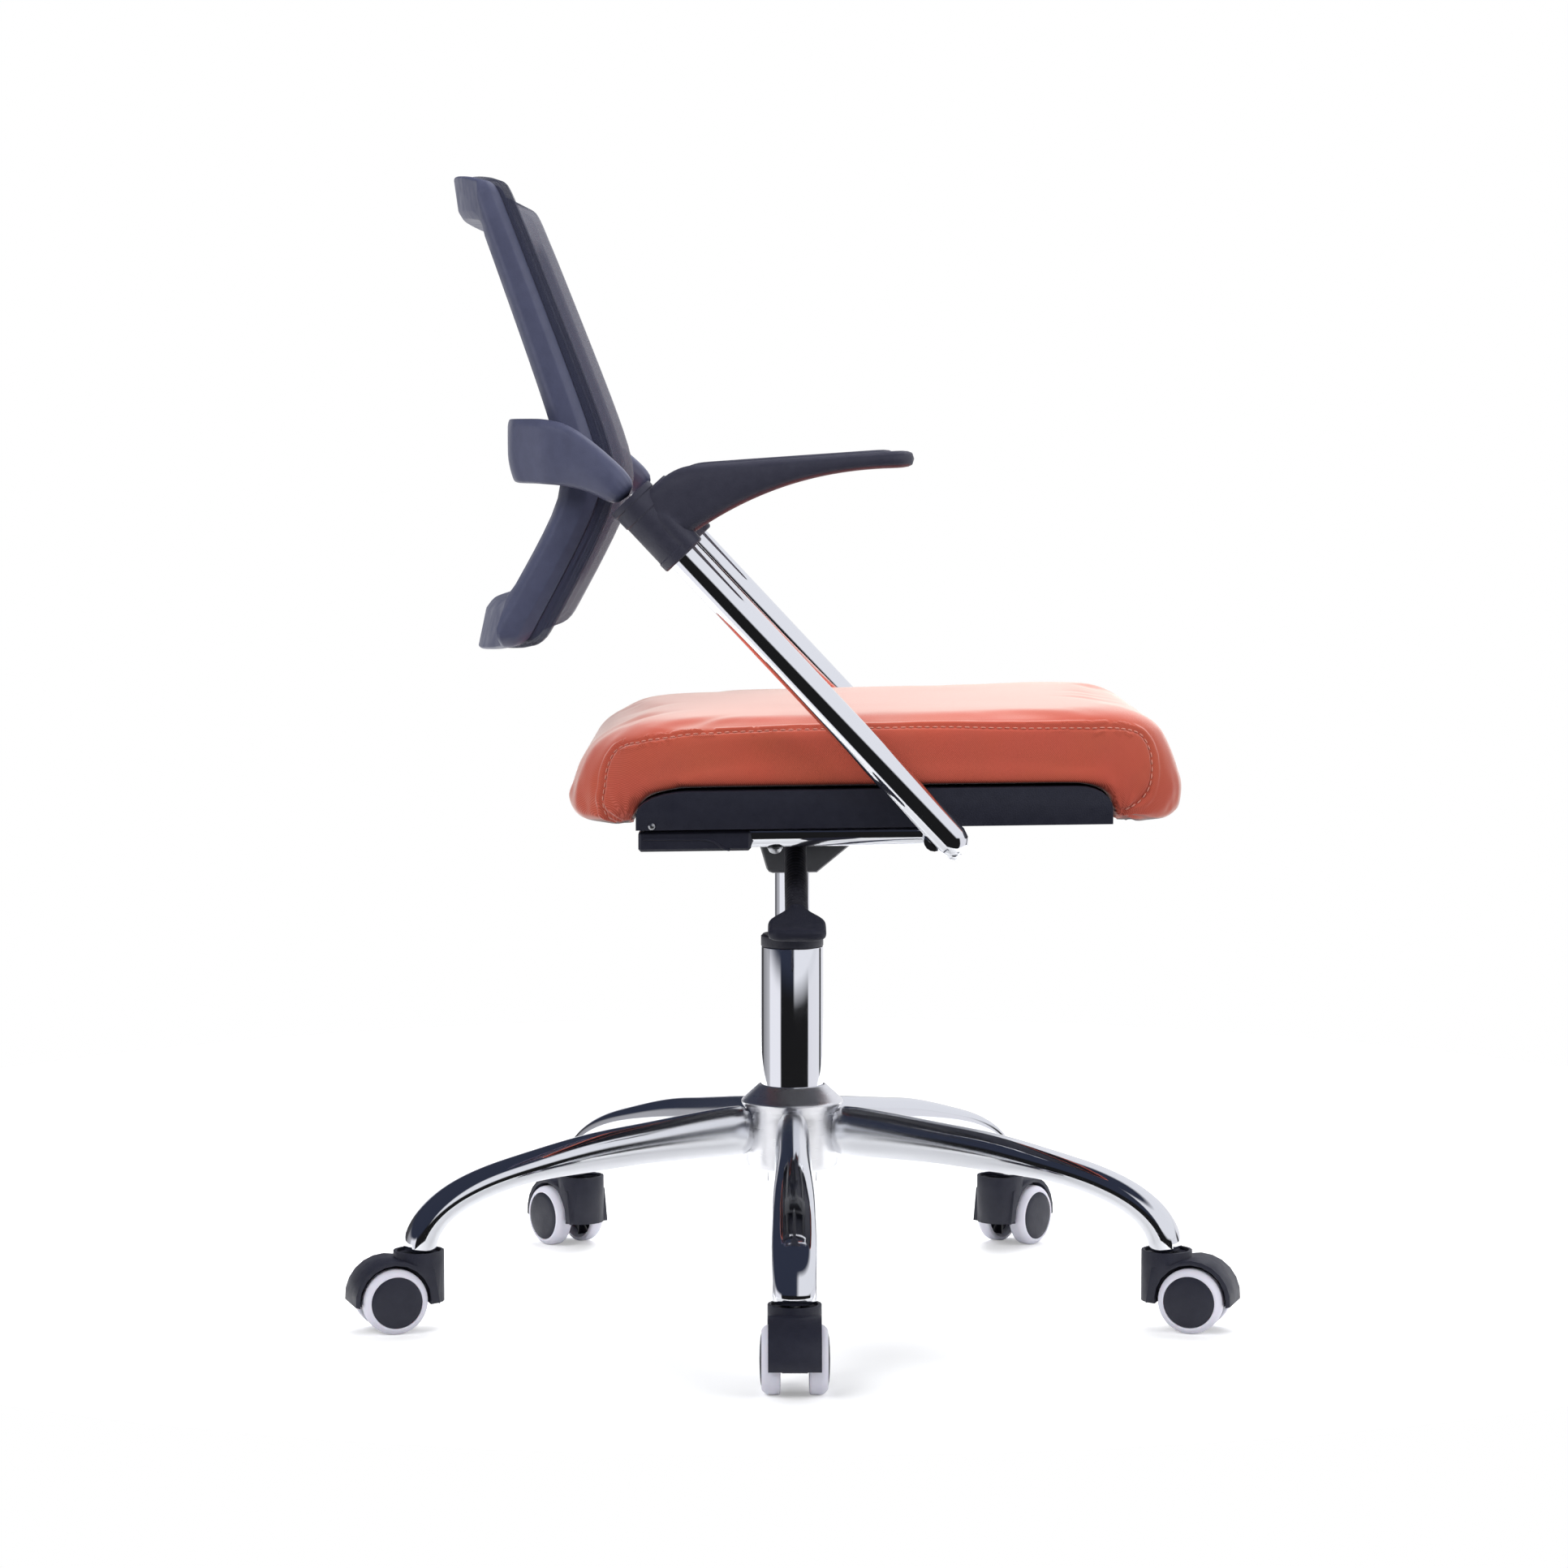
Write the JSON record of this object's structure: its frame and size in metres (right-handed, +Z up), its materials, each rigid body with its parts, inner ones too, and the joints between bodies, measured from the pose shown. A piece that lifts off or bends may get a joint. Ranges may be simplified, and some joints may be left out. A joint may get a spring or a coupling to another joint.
{
  "type": "office chair",
  "caption": "Office swivel chair with a height-adjustable padded seat, a reclining mesh back, fixed armrests and a five-star base on twin-wheel casters.",
  "frame": {"origin": "on the floor at the centre of the footprint of the whole chair, 29 mm to the sitter's right of the column's axis", "axes": "+X the way the sitter faces, +Y to the sitter's left, +Z up"},
  "size_m": [0.702, 0.6678, 0.898],
  "materials": {
    "satin_alloy": "satin",
    "polished_alloy": "polished chrome plate",
    "chrome": "polished",
    "black_plastic": "fine grain",
    "zinc_steel": "bright zinc",
    "pale_tread": "smooth pale lilac grey tread with a dark cap",
    "painted_steel": "black paint",
    "slate_plastic": "fine grain",
    "dark_mesh": "woven mesh",
    "coral_fabric": "twill"
  },
  "bodies": {
    "base": {"base_hub": "satin_alloy", "base_leg_1": "polished_alloy", "base_leg_2": "polished_alloy", "base_leg_3": "polished_alloy", "base_leg_4": "polished_alloy", "base_leg_5": "polished_alloy", "column_tube": "chrome", "column_bush": "black_plastic", "thrust_bearing": "zinc_steel"},
    "lift_rod": {"piston_rod": "zinc_steel"},
    "seat": {"gas_cylinder": "chrome", "lift_plate": "painted_steel", "cross_tube_front": "painted_steel", "cross_tube_rear": "painted_steel", "seat_rail_right": "chrome", "seat_rail_left": "chrome", "rail_cover_right": "black_plastic", "rail_cover_left": "black_plastic", "arm_tube_right": "chrome", "arm_tube_left": "chrome", "seat_shell": "black_plastic", "seat_cushion": "coral_fabric", "armrest_right": "black_plastic", "armrest_left": "black_plastic", "back_yoke": "slate_plastic", "pivot_pin_right": "zinc_steel", "pivot_pin_left": "zinc_steel", "return_spring_right": "zinc_steel", "return_spring_left": "zinc_steel"},
    "lever": {"lever_rod": "zinc_steel", "lever_grip": "black_plastic"},
    "button": {"release_button": "zinc_steel"},
    "back": {"back_frame": "slate_plastic", "back_mesh": "dark_mesh"},
    "caster_1": {"caster_stem_1": "zinc_steel", "caster_hood_1": "black_plastic", "caster_axle_1": "zinc_steel"},
    "wheel_1_a": {"caster_wheel_1_a": "pale_tread"},
    "wheel_1_b": {"caster_wheel_1_b": "pale_tread"},
    "caster_2": {"caster_stem_2": "zinc_steel", "caster_hood_2": "black_plastic", "caster_axle_2": "zinc_steel"},
    "wheel_2_a": {"caster_wheel_2_a": "pale_tread"},
    "wheel_2_b": {"caster_wheel_2_b": "pale_tread"},
    "caster_3": {"caster_stem_3": "zinc_steel", "caster_hood_3": "black_plastic", "caster_axle_3": "zinc_steel"},
    "wheel_3_a": {"caster_wheel_3_a": "pale_tread"},
    "wheel_3_b": {"caster_wheel_3_b": "pale_tread"},
    "caster_4": {"caster_stem_4": "zinc_steel", "caster_hood_4": "black_plastic", "caster_axle_4": "zinc_steel"},
    "wheel_4_a": {"caster_wheel_4_a": "pale_tread"},
    "wheel_4_b": {"caster_wheel_4_b": "pale_tread"},
    "caster_5": {"caster_stem_5": "zinc_steel", "caster_hood_5": "black_plastic", "caster_axle_5": "zinc_steel"},
    "wheel_5_a": {"caster_wheel_5_a": "pale_tread"},
    "wheel_5_b": {"caster_wheel_5_b": "pale_tread"}
  },
  "joints": [
    {"name": "seat_swivel", "type": "hinge", "parent": "base", "child": "lift_rod", "pos_m": [0, 0.0295, 0.2], "axis": [0, 0, 1], "continuous": true},
    {"name": "seat_height", "type": "slide", "parent": "lift_rod", "child": "seat", "axis": [0, 0, 1], "range_m": [-0.04, 0.06]},
    {"name": "back_recline", "type": "hinge", "parent": "seat", "child": "back", "pos_m": [-0.16502, 0.0295, 0.683], "axis": [0, -1, 0], "range_deg": [0, 30], "stiffness_Nm_per_rad": 20, "springref_deg": -5.73},
    {"name": "lever_lift", "type": "hinge", "parent": "seat", "child": "lever", "pos_m": [0.002, -0.0045, 0.3823], "axis": [-1, 0, 0], "range_deg": [0, 5], "stiffness_Nm_per_rad": 1.5, "springref_deg": -5.73},
    {"name": "button_press", "type": "slide", "parent": "seat", "child": "button", "axis": [0, 0, 1], "range_m": [-0.004, 0]},
    {"name": "caster_swivel_1", "type": "hinge", "parent": "base", "child": "caster_1", "pos_m": [0, -0.2785, 0.06], "axis": [0, 0, 1], "continuous": true},
    {"name": "wheel_roll_1_a", "type": "hinge", "parent": "caster_1", "child": "wheel_1_a", "pos_m": [-0.018, -0.3015, 0.0255], "axis": [1, 0, 0], "continuous": true},
    {"name": "wheel_roll_1_b", "type": "hinge", "parent": "caster_1", "child": "wheel_1_b", "pos_m": [0.018, -0.3015, 0.0255], "axis": [1, 0, 0], "continuous": true},
    {"name": "caster_swivel_2", "type": "hinge", "parent": "base", "child": "caster_2", "pos_m": [0.29292, -0.06568, 0.06], "axis": [0, 0, 1], "continuous": true},
    {"name": "wheel_roll_2_a", "type": "hinge", "parent": "caster_2", "child": "wheel_2_a", "pos_m": [0.30924, -0.08991, 0.0255], "axis": [0.309, 0.9511, 0], "continuous": true},
    {"name": "wheel_roll_2_b", "type": "hinge", "parent": "caster_2", "child": "wheel_2_b", "pos_m": [0.32036, -0.05567, 0.0255], "axis": [0.309, 0.9511, 0], "continuous": true},
    {"name": "caster_swivel_3", "type": "hinge", "parent": "base", "child": "caster_3", "pos_m": [0.18104, 0.27867, 0.06], "axis": [0, 0, 1], "continuous": true},
    {"name": "wheel_roll_3_a", "type": "hinge", "parent": "caster_3", "child": "wheel_3_a", "pos_m": [0.20912, 0.2867, 0.0255], "axis": [-0.809, 0.5878, 0], "continuous": true},
    {"name": "wheel_roll_3_b", "type": "hinge", "parent": "caster_3", "child": "wheel_3_b", "pos_m": [0.17999, 0.30786, 0.0255], "axis": [-0.809, 0.5878, 0], "continuous": true},
    {"name": "caster_swivel_4", "type": "hinge", "parent": "base", "child": "caster_4", "pos_m": [-0.18104, 0.27867, 0.06], "axis": [0, 0, 1], "continuous": true},
    {"name": "wheel_roll_4_a", "type": "hinge", "parent": "caster_4", "child": "wheel_4_a", "pos_m": [-0.17999, 0.30786, 0.0255], "axis": [-0.809, -0.5878, 0], "continuous": true},
    {"name": "wheel_roll_4_b", "type": "hinge", "parent": "caster_4", "child": "wheel_4_b", "pos_m": [-0.20912, 0.2867, 0.0255], "axis": [-0.809, -0.5878, 0], "continuous": true},
    {"name": "caster_swivel_5", "type": "hinge", "parent": "base", "child": "caster_5", "pos_m": [-0.29292, -0.06568, 0.06], "axis": [0, 0, 1], "continuous": true},
    {"name": "wheel_roll_5_a", "type": "hinge", "parent": "caster_5", "child": "wheel_5_a", "pos_m": [-0.32036, -0.05567, 0.0255], "axis": [0.309, -0.9511, 0], "continuous": true},
    {"name": "wheel_roll_5_b", "type": "hinge", "parent": "caster_5", "child": "wheel_5_b", "pos_m": [-0.30924, -0.08991, 0.0255], "axis": [0.309, -0.9511, 0], "continuous": true}
  ],
  "couplings": [
    {"joint": "button_press", "follows": "lever_lift", "m_per_rad": -0.034}
  ]
}
